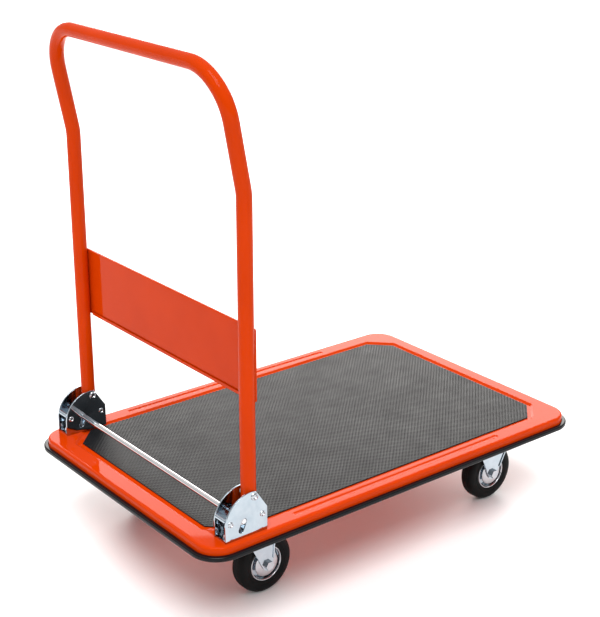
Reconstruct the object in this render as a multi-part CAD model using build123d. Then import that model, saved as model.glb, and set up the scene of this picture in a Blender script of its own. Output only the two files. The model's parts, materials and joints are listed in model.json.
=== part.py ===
from build123d import *
from math import atan2, cos, degrees, pi, sin, sqrt
import os

# Folding platform cart. Millimetres, +Z up, origin on the floor under the middle of the platform.
# +X is the way the cart is pushed, so the handle stands at the -X end. +Y is the left side.
os.makedirs("parts", exist_ok=True)
SIDES = {"left": 1, "right": -1}

# Platform: one pressed steel sheet with a turned-down skirt and a narrow flange
DECK_TOP = 150.0
DECK_FLAT_L = 720.0
DECK_FLAT_W = 470.0
SHEET = 1.5
FOLD_R = 3.5
FLAT_CORNER_R = 33.0
FLANGE_Z = 134.25
FLANGE_REACH = 6.0
EDGE_EASE = 0.1

# Recess for the mat, with sloped walls and cut-off corners
RECESS_X0 = -337.0
RECESS_X1 = 340.0
RECESS_W = 420.0
RECESS_CHAMFER = 36.0
RECESS_DEPTH = 3.0
RECESS_SLOPE = 4.0
MAT_X0 = -325.5
MAT_X1 = 332.0
MAT_W = 405.0
MAT_CHAMFER = 34.5
MAT_T = 2.2

# Stiffening groove along each long edge
GROOVE_L = 416.0
GROOVE_Y = 222.0
GROOVE_TOP_W = 9.5
GROOVE_BOTTOM_W = 4.0
GROOVE_DEPTH = 1.3
GROOVE_WALL = 2.0

# Bumper strip pushed over the flange
BUMPER_INSIDE = 0.5
BUMPER_W = 7.0
BUMPER_Z0 = 131.0
BUMPER_H = 7.5
BUMPER_R = 2.2
BUMPER_JOINT_Y = -65.0
BUMPER_JOINT_GAP = 0.6

# Cross channels under the platform, which carry the casters
CHANNEL_L = 392.0
CHANNEL_WEB = 108.0
CHANNEL_FLANGE = 16.0
CHANNEL_T = 2.0
CHANNEL_BEND_R = 3.0
CHANNEL_X = {"rear": -253.0, "front": 253.0}

# Casters
WHEEL_Y = 156.0
WHEEL_R = 48.0
TYRE_W = 26.0
TYRE_INNER_R = 26.8
RIM_R = 27.9
RIM_STEP = 0.3
RIM_INSET = 3.0
GUARD_R = 20.2
HUB_R = 12.0
HUB_HALF = 13.2
WEB_HALF = 5.0
TRAIL = 36.0
PLATE_TOP = 121.5
PLATE_T = 2.5
PLATE_L = 95.0
PLATE_W = 70.0
PLATE_CORNER_R = 6.0
PLATE_HOLES_L = 76.0
PLATE_HOLES_W = 49.0
FORK_T = 2.5
FORK_GAP = 30.0
SWIVEL_LEG = (-4.0, 49.0)
RIGID_LEG = (-43.0, 43.0)
LEG_RIM = 1.5
LEG_RIM_W = 2.0
LEG_TOP_H = 8.0
LEG_RIM_TOP_GAP = 6.0
FORK_BEND_R = 4.0
FORK_INNER_BEND_R = 1.5
CROWN_TOP = 110.0
CROWN_R = 28.0
BOSS_R = 9.5
AXLE_R = 4.0
AXLE_END_OUT = 2.0
BUSH_R = 6.0
RUN = 0.05
KINGPIN_R = 6.0
KINGPIN_HEAD_R = 10.0
KINGPIN_HEAD_H = 3.8
KINGPIN_HEAD_GAP = 0.2
KINGPIN_CHAMFER = 1.2
BALL_R = 2.5
BALL_RING_R = 20.0
BALLS = 16
BALL_SINK = 0.6
CLEAR = 0.3
SIDEWALL_STEP = 0.9
SIDEWALL_R = 38.0
SHOULDER_DROP = 1.2
SHOULDER_IN = 1.5
SHOULDER_R = 4.0
BARREL_T = 4.0
HUB_STEP = 2.0
DISC_T = 1.0

# Handle: one bent tube with a sheet panel across it
TUBE_R = 11.0
TUBE_T = 1.5
HANDLE_X = -283.4
HANDLE_Y = 217.0
KINK_Z = 639.0
TOP_Z = 802.5
LEAN = 0.19
KINK_R = 90.0
CORNER_R = 70.0
PANEL_Z0 = 343.0
PANEL_Z1 = 450.0
PANEL_HALF_W = 221.0
PANEL_T = 1.2
PANEL_RETURN = 3.0
HEM_GAP = 1.2
HEM_H = 5.0
HEM_HALF_W = 205.0
PANEL_BEND_R = 0.8

# Hinge brackets
BRACKET_X = -333.3
BRACKET_L = 72.0
BRACKET_H = 66.5
BRACKET_T = 2.5
BRACKET_GAP = 23.2
CHEEK_BACK_H = 26.0
CHEEK_ARC_MID = (17.0, 56.5)
CHEEK_ARC_END = (46.0, BRACKET_H)
CHEEK_NOSE = (53.0, BRACKET_H - 1.5)
CHEEK_FRONT_H = 36.0
SHELF_TOP = 36.0
SHELF_L = 21.0
SHELF_BEND_R = 2.0
SHELF_LIP_H = 4.0
PIVOT = (HANDLE_X, DECK_TOP + 58.0)
STOP_DX = 63.5
STOP_DZ = 27.1
STOP_R = 2.5
ANCHOR_DX = 8.8
ANCHOR_DZ = 27.5
ANCHOR_R = 2.5
PIVOT_R = 4.0
PIVOT_BUSH_R = 5.5
BUSH_END_GAP = 0.1
TUBE_END_BELOW_PIVOT = 30.5

# Foot-operated release bar in the slots of the brackets
BAR_R = 4.25
BAR_DX = 32.2
BAR_DZ = 25.0
BAR_TRAVEL = 13.5
SLOT_DIR = (-0.4, -0.9165)
BAR_END_IN = 0.4
BAR_CHAMFER = 0.5
CLIP_R = 6.2
CLIP_T = 1.0
SPRING_R = 5.0
SPRING_WIRE_R = 0.55
SPRING_TURNS = 5
SPRING_DX = 29.5
SPRING_FOOT_GAP = 0.05
SPRING_HEAD_GAP = 0.4

# Fasteners
M6 = {"r": 3.0, "af": 10.0, "head": 4.0, "nut": 5.0}
M8 = {"r": 4.0, "af": 13.0, "head": 5.3, "nut": 6.5}
BRACKET_BOLT_DX = (12.0, 59.0)
BRACKET_BOLT_Y = 219.0
CASTER_BOLT_L = 12.0
BRACKET_BOLT_L = 16.0
HEX_CORNER = 2 / sqrt(3)
BOLT_DOME = 0.9
NUT_DOME = 0.94
PIVOT_HEAD = {"r": 6.0, "h": 2.2}
SMALL_HEAD = {"r": 4.4, "h": 1.7}

MIN_Z = (Align.CENTER, Align.CENTER, Align.MIN)
DECK_UNDER = DECK_TOP - SHEET
RECESS_FLOOR = DECK_TOP - RECESS_DEPTH
RECESS_UNDER = RECESS_FLOOR - SHEET
SKIRT_OUT = FOLD_R
PLATE_BOTTOM = PLATE_TOP - PLATE_T
FORK_HALF = FORK_GAP / 2 + FORK_T
BRACKET_HALF = BRACKET_GAP / 2 + BRACKET_T
AXLE_X = {"rear": CHANNEL_X["rear"] + TRAIL, "front": CHANNEL_X["front"]}


# ---------- helpers ----------
def save(shape, node):
    export_step(shape, f"parts/{node}.step")


def group(solids):
    return Compound(children=list(solids))


def block(x0, x1, y0, y1, z0, z1):
    size = (x1 - x0, y1 - y0, z1 - z0)
    centre = ((x0 + x1) / 2, (y0 + y1) / 2, (z0 + z1) / 2)
    return Location(centre) * Box(*size)


def rod_y(x, z, y0, y1, radius):
    """Cylinder along Y from y0 to y1."""
    low, high = min(y0, y1), max(y0, y1)
    return Location((x, (low + high) / 2, z), (90, 0, 0)) * Cylinder(radius, high - low)


def rod_z(x, y, z0, z1, radius):
    """Cylinder along Z from z0 to z1."""
    return Location((x, y, (z0 + z1) / 2)) * Cylinder(radius, z1 - z0)


def rounded_slab(length, width, corner, z0, z1):
    plate = extrude(RectangleRounded(length, width, corner), z1 - z0)
    return Location((0, 0, z0)) * plate


def cut_corner_outline(x0, x1, width, chamfer_leg, z):
    """Rectangle with cut-off corners, as a face at height z."""
    h = width / 2
    c = chamfer_leg
    points = [(x0 + c, -h), (x1 - c, -h), (x1, -h + c), (x1, h - c)]
    points += [(x1 - c, h), (x0 + c, h), (x0, h - c), (x0, -h + c)]
    return Location((0, 0, z)) * Polygon(*points, align=None)


def frustum(grow_top, grow_bottom, z_top, z_bottom):
    """The recess as a solid: its outline grown by one amount at the top and another at the bottom."""
    faces = []
    for grow, z in ((grow_bottom, z_bottom), (grow_top, z_top)):
        leg = RECESS_CHAMFER + grow * (2 - sqrt(2))
        outline = cut_corner_outline(RECESS_X0 - grow, RECESS_X1 + grow, RECESS_W + 2 * grow, leg, z)
        faces.append(outline.face())
    return loft(faces, ruled=True)


def groove(side, top_w, bottom_w, z_top, z_bottom):
    low = Location((0, side * GROOVE_Y, z_bottom)) * SlotOverall(GROOVE_L - top_w + bottom_w, bottom_w)
    high = Location((0, side * GROOVE_Y, z_top)) * SlotOverall(GROOVE_L, top_w)
    return loft([low.face(), high.face()])


def hex_prism(flats, height):
    return extrude(RegularPolygon(flats / 2, 6, major_radius=False), height)


def bolt_z(x, y, seat_z, length, size):
    """Hex bolt pointing down, with its slightly domed head on seat_z."""
    head = hex_prism(size["af"], size["head"])
    dome = Cone(size["af"] / 2 * HEX_CORNER, size["af"] / 2 * BOLT_DOME, size["head"], align=MIN_Z)
    bolt = (head & dome) + Location((0, 0, -length)) * Cylinder(size["r"], length, align=MIN_Z)
    return Location((x, y, seat_z)) * bolt


def nut_z(x, y, z0, size):
    """Hex nut with a washer face, its hole just clear of the bolt's surface."""
    body = hex_prism(size["af"], size["nut"])
    cone = Cone(size["af"] / 2 * HEX_CORNER, size["af"] / 2 * NUT_DOME, size["nut"], align=MIN_Z)
    nut = (body & cone) - Cylinder(size["r"], size["nut"], align=MIN_Z)
    return Location((x, y, z0)) * nut


def turned_y(profile, x, y, z):
    """Profile points are (radius, distance along Y). Turned about the Y axis through (x, y, z)."""
    face = make_face(Polyline(*[(r, d) for r, d in profile], close=True))
    return Location((x, y, z)) * revolve(face, Axis.Y)


def bracket_bolt_places():
    return [(BRACKET_X + dx, side * BRACKET_BOLT_Y) for side in SIDES.values() for dx in BRACKET_BOLT_DX]


# ---------- platform ----------
def make_deck():
    skirt_l = DECK_FLAT_L + 2 * SKIRT_OUT
    skirt_w = DECK_FLAT_W + 2 * SKIRT_OUT
    skirt_r = FLAT_CORNER_R + SKIRT_OUT
    body = rounded_slab(skirt_l, skirt_w, skirt_r, FLANGE_Z, DECK_TOP)
    body = fillet(body.faces().sort_by(Axis.Z)[-1].edges(), FOLD_R - EDGE_EASE)
    inner_l, inner_w = skirt_l - 2 * SHEET, skirt_w - 2 * SHEET
    inside = rounded_slab(inner_l, inner_w, skirt_r - SHEET, FLANGE_Z, DECK_UNDER)
    inside = fillet(inside.faces().sort_by(Axis.Z)[-1].edges(), FOLD_R - SHEET)
    reach = 2 * FLANGE_REACH
    flange_r = skirt_r + FLANGE_REACH
    flange = rounded_slab(skirt_l + reach, skirt_w + reach, flange_r, FLANGE_Z, FLANGE_Z + SHEET)
    deck = body + flange - inside
    deck = deck + frustum(SHEET, SHEET - RECESS_SLOPE, DECK_UNDER, RECESS_UNDER)
    deck = deck - frustum(0, -RECESS_SLOPE, DECK_TOP, RECESS_FLOOR)
    under_top_w, under_bottom_w = GROOVE_TOP_W + GROOVE_WALL, GROOVE_BOTTOM_W + GROOVE_WALL
    for side in SIDES.values():
        deck = deck + groove(side, under_top_w, under_bottom_w, DECK_UNDER, DECK_UNDER - GROOVE_DEPTH)
        deck = deck - groove(side, GROOVE_TOP_W, GROOVE_BOTTOM_W, DECK_TOP, DECK_TOP - GROOVE_DEPTH)
    for x, y in bracket_bolt_places():
        deck = deck - rod_z(x, y, DECK_UNDER - 1, DECK_TOP + 1, M8["r"])
    return deck


def make_mat():
    outline = cut_corner_outline(MAT_X0, MAT_X1, MAT_W, MAT_CHAMFER, RECESS_FLOOR)
    return extrude(outline, MAT_T)


def make_bumper():
    """U-section strip round the flange, with a narrow butt joint at the handle end."""
    inner_l = DECK_FLAT_L + 2 * (SKIRT_OUT + BUMPER_INSIDE)
    inner_w = DECK_FLAT_W + 2 * (SKIRT_OUT + BUMPER_INSIDE)
    inner_r = FLAT_CORNER_R + SKIRT_OUT + BUMPER_INSIDE
    grow = 2 * BUMPER_W
    top = BUMPER_Z0 + BUMPER_H
    strip = rounded_slab(inner_l + grow, inner_w + grow, inner_r + BUMPER_W, BUMPER_Z0, top)
    outer = strip.faces().sort_by(Axis.Z)[-1].edges() + strip.faces().sort_by(Axis.Z)[0].edges()
    strip = fillet(outer, BUMPER_R)
    strip = strip - rounded_slab(inner_l, inner_w, inner_r, BUMPER_Z0, top)
    reach = 2 * FLANGE_REACH
    flange_l = DECK_FLAT_L + 2 * SKIRT_OUT + reach
    flange_w = DECK_FLAT_W + 2 * SKIRT_OUT + reach
    flange_r = FLAT_CORNER_R + SKIRT_OUT + FLANGE_REACH
    strip = strip - rounded_slab(flange_l, flange_w, flange_r, FLANGE_Z, FLANGE_Z + SHEET)
    half = BUMPER_JOINT_GAP / 2
    x_out, x_in = -inner_l / 2 - BUMPER_W - 1, -inner_l / 2 + 1
    joint = block(x_out, x_in, BUMPER_JOINT_Y - half, BUMPER_JOINT_Y + half, BUMPER_Z0 - 1, top + 1)
    return strip - joint


def plate_holes(x):
    """Centres of the eight caster bolt holes in the channel at x."""
    dx, dy = PLATE_HOLES_L / 2, PLATE_HOLES_W / 2
    rows = [side * WHEEL_Y + way * dy for side in SIDES.values() for way in (-1, 1)]
    return [(x + way * dx, y) for y in rows for way in (-1, 1)]


def make_channel(x):
    """Hat section: flat web below, two walls, and two lips welded to the underside of the platform."""
    half_web = CHANNEL_WEB / 2
    half_gap = half_web - CHANNEL_T
    half_lips = half_web + CHANNEL_FLANGE
    half_l = CHANNEL_L / 2
    outer = block(x - half_web, x + half_web, -half_l, half_l, PLATE_TOP, RECESS_UNDER)
    outer = fillet(outer.edges().filter_by(Axis.Y).group_by(Axis.Z)[0], CHANNEL_BEND_R)
    inner = block(x - half_gap, x + half_gap, -half_l, half_l, PLATE_TOP + CHANNEL_T, RECESS_UNDER)
    lips = block(x - half_lips, x + half_lips, -half_l, half_l, RECESS_UNDER - CHANNEL_T, RECESS_UNDER)
    channel = outer + lips - inner
    for hx, hy in plate_holes(x):
        channel = channel - rod_z(hx, hy, PLATE_TOP - 1, PLATE_TOP + CHANNEL_T + 1, M6["r"])
    return channel


# ---------- hinge brackets and the release bar ----------
def cheek_outline():
    """Side view of a bracket cheek: straight back edge, arc over the top, sloped front corner."""
    start = (0, CHEEK_BACK_H)
    front = (BRACKET_L, CHEEK_FRONT_H)
    arc = ThreePointArc(start, CHEEK_ARC_MID, CHEEK_ARC_END)
    rest = Polyline(CHEEK_ARC_END, CHEEK_NOSE, front, (BRACKET_L, 0), (0, 0), start)
    return make_face([arc, rest])


def slot_points():
    low = (BAR_DX + SLOT_DIR[0] * BAR_TRAVEL, BAR_DZ + SLOT_DIR[1] * BAR_TRAVEL)
    return (BAR_DX, BAR_DZ), low


def on_bracket(dx, dz):
    return BRACKET_X + dx, DECK_TOP + dz


def bracket_plane(y):
    """Sketch plane of a cheek: its X is along the cart and its Y is up."""
    return Plane((BRACKET_X, y, DECK_TOP), x_dir=(1, 0, 0), z_dir=(0, -1, 0))


def bracket_slot():
    """Sloping slot that the release bar slides in."""
    (x0, z0), (x1, z1) = slot_points()
    length = sqrt((x1 - x0) ** 2 + (z1 - z0) ** 2)
    angle = degrees(atan2(z1 - z0, x1 - x0))
    middle = Location(((x0 + x1) / 2, (z0 + z1) / 2, 0), (0, 0, angle))
    return middle * SlotCenterToCenter(length, 2 * (BAR_R + CLEAR))


def make_bracket(side):
    """U-shaped bracket, open at both ends: a foot, two cheeks, and a shelf between the cheeks."""
    y_mid = side * HANDLE_Y
    y0, y1 = y_mid - BRACKET_HALF, y_mid + BRACKET_HALF
    gap0, gap1 = y_mid - BRACKET_GAP / 2, y_mid + BRACKET_GAP / 2
    top = DECK_TOP + SHELF_TOP
    bracket = block(BRACKET_X, BRACKET_X + BRACKET_L, y0, y1, DECK_TOP, DECK_TOP + BRACKET_T)
    for low in (y0, gap1):
        bracket = bracket + extrude(bracket_plane(low) * cheek_outline(), BRACKET_T, dir=(0, 1, 0))
    shelf = block(BRACKET_X, BRACKET_X + SHELF_L, gap0, gap1, top - SHELF_LIP_H, top)
    shelf = fillet(shelf.edges().filter_by(Axis.Y).group_by(Axis.Z)[-1].sort_by(Axis.X)[0], SHELF_BEND_R)
    hollow_x, hollow_z = BRACKET_X + BRACKET_T, top - BRACKET_T
    shelf = shelf - block(hollow_x, BRACKET_X + SHELF_L, gap0, gap1, top - SHELF_LIP_H, hollow_z)
    bracket = bracket + shelf
    bracket = bracket - extrude(bracket_plane(y0 - 1) * bracket_slot(), 2 * BRACKET_HALF + 2, dir=(0, 1, 0))
    holes = [(*PIVOT, PIVOT_R), (*on_bracket(STOP_DX, STOP_DZ), STOP_R)]
    holes.append((*on_bracket(ANCHOR_DX, ANCHOR_DZ), ANCHOR_R))
    for x, z, r in holes:
        bracket = bracket - rod_y(x, z, y0 - 1, y1 + 1, r)
    for x, y in bracket_bolt_places():
        if y * side > 0:
            bracket = bracket - rod_z(x, y, DECK_TOP - 1, DECK_TOP + BRACKET_T + 1, M8["r"])
    return bracket


def rivet(x, z, y_mid, shank_r, head):
    """Semi-tubular rivet across both cheeks, each end rolled over into a ring with a dimple."""
    half, r, h = BRACKET_HALF, head["r"], head["h"]
    rolled = [(0, 0.25 * h), (0.42 * r, 0.25 * h), (0.62 * r, h), (0.86 * r, 0.7 * h), (r, 0)]
    upper = [(radius, half + rise) for radius, rise in rolled] + [(shank_r, half)]
    profile = upper + [(radius, -d) for radius, d in reversed(upper)]
    return turned_y(profile, x, y_mid, z)


def make_release_bar():
    x, z = on_bracket(BAR_DX, BAR_DZ)
    end = HANDLE_Y + BRACKET_HALF - BAR_END_IN
    bar = rod_y(x, z, -end, end, BAR_R)
    return chamfer(bar.edges().filter_by(GeomType.CIRCLE), BAR_CHAMFER)


def make_bar_clips():
    x, z = on_bracket(BAR_DX, BAR_DZ)
    outer = HANDLE_Y + BRACKET_GAP / 2 - CLEAR
    clips = []
    for side in SIDES.values():
        ring = rod_y(x, z, side * (outer - CLIP_T), side * outer, CLIP_R)
        clips.append(ring - rod_y(x, z, side * (outer - CLIP_T - 1), side * (outer + 1), BAR_R))
    return group(clips)


def make_spring(side):
    """Coil spring that pushes the release bar back up to the top of its slots."""
    x = BRACKET_X + SPRING_DX
    bottom = DECK_TOP + BRACKET_T + SPRING_WIRE_R + SPRING_FOOT_GAP
    top = DECK_TOP + BAR_DZ - BAR_R - SPRING_WIRE_R - SPRING_HEAD_GAP
    height = top - bottom
    helix = Helix(height / SPRING_TURNS, height, SPRING_R)
    start = Plane(helix @ 0, z_dir=helix % 0)
    wire = sweep(start * Circle(SPRING_WIRE_R), path=helix, is_frenet=True)
    return Location((x, side * HANDLE_Y, bottom)) * wire


# ---------- handle ----------
def lean_x(z):
    return HANDLE_X - LEAN * (z - KINK_Z)


def make_handle_tube():
    low = PIVOT[1] - TUBE_END_BELOW_PIVOT
    y = HANDLE_Y
    x_top = lean_x(TOP_Z)
    points = [(HANDLE_X, -y, low), (HANDLE_X, -y, KINK_Z), (x_top, -y, TOP_Z)]
    points += [(x_top, y, TOP_Z), (HANDLE_X, y, KINK_Z), (HANDLE_X, y, low)]
    path = FilletPolyline(*points, radius=[KINK_R, CORNER_R, CORNER_R, KINK_R])
    section = Plane(path @ 0, z_dir=path % 0) * (Circle(TUBE_R) - Circle(TUBE_R - TUBE_T))
    tube = sweep(section, path=path)
    for side in SIDES.values():
        tube = tube - rod_y(*PIVOT, side * y - TUBE_R - 1, side * y + TUBE_R + 1, PIVOT_BUSH_R)
    return tube


def make_panel():
    """Shallow sheet tray on the platform side of the uprights, with a hem turned up behind its lower edge."""
    x0 = HANDLE_X + TUBE_R
    w = PANEL_HALF_W
    tray = block(x0, x0 + PANEL_RETURN, -w, w, PANEL_Z0, PANEL_Z1)
    tray = fillet(tray.edges().filter_by(Axis.Y).group_by(Axis.X)[0], PANEL_BEND_R)
    pocket_w, open_x = w - PANEL_T, x0 + PANEL_RETURN + 1
    pocket = block(x0 + PANEL_T, open_x, -pocket_w, pocket_w, PANEL_Z0 + PANEL_T, PANEL_Z1 - PANEL_T)
    back = x0 - HEM_GAP - PANEL_T
    fold = block(back, x0 + PANEL_T, -HEM_HALF_W, HEM_HALF_W, PANEL_Z0, PANEL_Z0 + PANEL_T)
    leaf = block(back, x0 - HEM_GAP, -HEM_HALF_W, HEM_HALF_W, PANEL_Z0, PANEL_Z0 + HEM_H)
    return tray - pocket + fold + leaf


def make_pivot_bushes():
    bushes = []
    half = BRACKET_GAP / 2 - BUSH_END_GAP
    for side in SIDES.values():
        y = side * HANDLE_Y
        outer = rod_y(*PIVOT, y - half, y + half, PIVOT_BUSH_R)
        bushes.append(outer - rod_y(*PIVOT, y - half - 1, y + half + 1, PIVOT_R + RUN))
    return group(bushes)


# ---------- casters ----------
def caster_plate(x, y):
    plate = rounded_slab(PLATE_L, PLATE_W, PLATE_CORNER_R, PLATE_BOTTOM, PLATE_TOP)
    plate = Location((x, y, 0)) * plate
    for hx, hy in plate_holes(x):
        if hy * y > 0:
            plate = plate - rod_z(hx, hy, PLATE_BOTTOM - 1, PLATE_TOP + 1, M6["r"])
    return plate


def leg_profile(axle_x, top_x0, top_x1, top_z):
    """Side view of a fork: straight edges from the crown's width down to the round axle boss."""
    boss = Location((axle_x, WHEEL_R)) * Circle(BOSS_R)
    top_middle = Location(((top_x0 + top_x1) / 2, top_z - LEG_TOP_H / 2))
    top = top_middle * Rectangle(top_x1 - top_x0, LEG_TOP_H)
    return make_hull(boss.edges() + top.edges())


def fork_body(axle_x, y, top_x0, top_x1, top_z):
    """Pressed U-shaped fork over one wheel, its leg edges turned outwards as a narrow rim."""
    side_plane = Plane((0, y - FORK_HALF, 0), x_dir=(1, 0, 0), z_dir=(0, -1, 0))
    leg = leg_profile(axle_x, top_x0, top_x1, top_z)
    body = extrude(side_plane * leg, 2 * FORK_HALF, dir=(0, 1, 0))
    body = fillet(body.edges().filter_by(Axis.X).group_by(Axis.Z)[-1], FORK_BEND_R)
    border = side_plane.offset(LEG_RIM) * (leg - offset(leg, -LEG_RIM_W, kind=Kind.INTERSECTION))
    rim = extrude(border, 2 * (FORK_HALF + LEG_RIM), dir=(0, 1, 0))
    reach = FORK_HALF + LEG_RIM + 1
    far0, far1 = top_x0 - WHEEL_R, top_x1 + WHEEL_R
    span = block(far0, far1, y - reach, y + reach, WHEEL_R + BOSS_R, top_z - LEG_RIM_TOP_GAP)
    room = block(far0, far1, y - FORK_GAP / 2, y + FORK_GAP / 2, 0, top_z - FORK_T)
    room = fillet(room.edges().filter_by(Axis.X).group_by(Axis.Z)[-1], FORK_INNER_BEND_R)
    body = body + (rim & span) - room
    return body - rod_y(axle_x, WHEEL_R, y - FORK_HALF - 1, y + FORK_HALF + 1, AXLE_R)


def make_swivel_plate(side):
    """Top plate with the upper ball cup and the king pin's hole."""
    x, y = CHANNEL_X["rear"], side * WHEEL_Y
    plate = caster_plate(x, y)
    cup = rod_z(x, y, CROWN_TOP + 2 * (BALL_R - BALL_SINK), PLATE_BOTTOM, CROWN_R) + plate
    track = Location((x, y, CROWN_TOP + BALL_R - BALL_SINK)) * Torus(BALL_RING_R, BALL_R + CLEAR)
    return cup - track - rod_z(x, y, 0, PLATE_TOP + 1, KINGPIN_R)


def make_kingpin(side):
    """Riveted king pin: fixed in the top plate, with a wide lower head under the fork's crown."""
    x, y = CHANNEL_X["rear"], side * WHEEL_Y
    head_top = CROWN_TOP - FORK_T - KINGPIN_HEAD_GAP
    pin = rod_z(x, y, head_top - KINGPIN_HEAD_H, PLATE_TOP, KINGPIN_R)
    head = rod_z(x, y, head_top - KINGPIN_HEAD_H, head_top, KINGPIN_HEAD_R)
    head = chamfer(head.edges().group_by(Axis.Z)[0], KINGPIN_CHAMFER)
    return pin + head


def make_swivel_fork(side):
    x, y = CHANNEL_X["rear"], side * WHEEL_Y
    fork = fork_body(AXLE_X["rear"], y, x + SWIVEL_LEG[0], x + SWIVEL_LEG[1], CROWN_TOP)
    crown = rod_z(x, y, CROWN_TOP - FORK_T, CROWN_TOP, CROWN_R - 1)
    track = Location((x, y, CROWN_TOP + BALL_R - BALL_SINK)) * Torus(BALL_RING_R, BALL_R)
    hole = rod_z(x, y, 0, CROWN_TOP + 1, KINGPIN_R + RUN)
    return fork + crown - track - hole


def make_swivel_balls(side):
    x, y = CHANNEL_X["rear"], side * WHEEL_Y
    balls = []
    for i in range(BALLS):
        a = 2 * pi * i / BALLS
        centre = (x + BALL_RING_R * cos(a), y + BALL_RING_R * sin(a), CROWN_TOP + BALL_R - BALL_SINK)
        balls.append(Location(centre) * Sphere(BALL_R))
    return group(balls)


def make_rigid_fork(side):
    x, y = CHANNEL_X["front"], side * WHEEL_Y
    fork = fork_body(AXLE_X["front"], y, x + RIGID_LEG[0], x + RIGID_LEG[1], PLATE_TOP)
    return caster_plate(x, y) + fork


def axle_bolt(x, y, outward):
    """Hex bolt through a fork, its head on the outer side."""
    seat = Location((x, y + outward * FORK_HALF, WHEEL_R), (-90 * outward, 0, 0))
    shank_end = y - outward * (FORK_HALF + M8["nut"] + AXLE_END_OUT)
    shank = rod_y(x, WHEEL_R, shank_end, y + outward * (FORK_HALF + 1), AXLE_R)
    return seat * hex_prism(M8["af"], M8["head"]) + shank


def axle_nut(x, y, outward):
    seat = Location((x, y - outward * FORK_HALF, WHEEL_R), (90 * outward, 0, 0))
    hole_end = y - outward * (FORK_HALF + 2 * M8["nut"])
    return seat * hex_prism(M8["af"], M8["nut"]) - rod_y(x, WHEEL_R, hole_end, y, AXLE_R)


def make_tyre(x, y):
    """Solid rubber tyre with a slightly domed tread and a step each side for the rim ring."""
    half = TYRE_W / 2
    step_r = RIM_R + RIM_STEP
    seat_d = half - RIM_INSET
    side = [(TYRE_INNER_R, seat_d), (step_r, seat_d), (step_r, half - SIDEWALL_STEP)]
    side += [(SIDEWALL_R, half), (WHEEL_R - SHOULDER_DROP, half - SHOULDER_IN)]
    mirrored = [(r, -d) for r, d in reversed(side)]
    tread = ThreePointArc(side[-1], (WHEEL_R, 0), mirrored[0])
    seat = Line(mirrored[-1], side[0])
    outline = make_face([seat, Polyline(*side), tread, Polyline(*mirrored)])
    shoulders = outline.vertices().sort_by(Axis.X)[-2:]
    outline = fillet(shoulders, SHOULDER_R)
    return Location((x, y, WHEEL_R)) * revolve(outline, Axis.Y)


def make_core(x, y):
    """Wheel centre that the tyre sits on: barrel, thin web and hub."""
    half = TYRE_W / 2 - RIM_INSET
    barrel_r = TYRE_INNER_R - BARREL_T
    side = [(BUSH_R + HUB_STEP, HUB_HALF), (HUB_R, HUB_HALF), (HUB_R, WEB_HALF), (barrel_r, WEB_HALF)]
    side += [(barrel_r, half), (TYRE_INNER_R, half)]
    return turned_y(side + [(r, -d) for r, d in reversed(side)], x, y, WHEEL_R)


def both_ends(profile, offset):
    """A turned profile and its mirror image. Its distances are measured outwards from offset."""
    for way in (-1, 1):
        yield [(r, way * (offset + d)) for r, d in profile]


def make_rim_rings(x, y):
    """Bright rolled ring on each side, clamping the tyre's edge."""
    inner = TYRE_INNER_R - BARREL_T
    profile = [(inner, 0), (TYRE_INNER_R, 0), (RIM_R - 0.4, 0.3), (RIM_R, 1.2), (RIM_R - 0.1, 2.1)]
    profile += [(RIM_R - 1.2, 2.7), (RIM_R - 2.4, 2.1), (inner + 1.8, 0.9), (inner, 0.9)]
    return group(turned_y(p, x, y, WHEEL_R) for p in both_ends(profile, TYRE_W / 2 - RIM_INSET))


def make_hub_discs(x, y):
    """Dished thread guard on each end of the hub, close to the fork's legs."""
    inner = BUSH_R + HUB_STEP
    profile = [(inner, 0), (HUB_R + 2, 0), (GUARD_R - 1.2, -0.7), (GUARD_R, -1.6), (GUARD_R, -0.4)]
    profile += [(GUARD_R - 1.6, 0.5), (HUB_R + 1, DISC_T), (inner, DISC_T)]
    return group(turned_y(p, x, y, WHEEL_R) for p in both_ends(profile, HUB_HALF))


def make_bush(x, y):
    half = FORK_GAP / 2 - CLEAR
    outer = BUSH_R + HUB_STEP
    profile = [(AXLE_R + RUN, -half), (outer, -half), (outer, half), (AXLE_R + RUN, half)]
    return turned_y(profile, x, y, WHEEL_R)


# ---------- write every node ----------
save(make_deck(), "deck_shell")
save(make_mat(), "deck_mat")
save(make_bumper(), "bumper_strip")
for end, channel_x in CHANNEL_X.items():
    save(make_channel(channel_x), f"cross_channel_{end}")

for name, side in SIDES.items():
    save(make_bracket(side), f"bracket_{name}")
    save(make_spring(side), f"release_spring_{name}")
    save(make_swivel_plate(side), f"swivel_plate_{name}")
    save(make_kingpin(side), f"kingpin_{name}")
    save(make_swivel_fork(side), f"swivel_fork_{name}")
    save(make_swivel_balls(side), f"swivel_balls_{name}")
    save(axle_bolt(AXLE_X["rear"], side * WHEEL_Y, side), f"axle_bolt_rear_{name}")
    save(axle_nut(AXLE_X["rear"], side * WHEEL_Y, side), f"axle_nut_rear_{name}")
    save(make_rigid_fork(side), f"rigid_fork_{name}")
    for end, axle_x in AXLE_X.items():
        centre = (axle_x, side * WHEEL_Y)
        save(make_tyre(*centre), f"tyre_{end}_{name}")
        save(make_core(*centre), f"wheel_core_{end}_{name}")
        save(make_rim_rings(*centre), f"rim_rings_{end}_{name}")
        save(make_hub_discs(*centre), f"hub_discs_{end}_{name}")
        save(make_bush(*centre), f"hub_bush_{end}_{name}")

front = AXLE_X["front"]
save(group(axle_bolt(front, s * WHEEL_Y, s) for s in SIDES.values()), "rigid_axle_bolts")
save(group(axle_nut(front, s * WHEEL_Y, s) for s in SIDES.values()), "rigid_axle_nuts")

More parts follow.
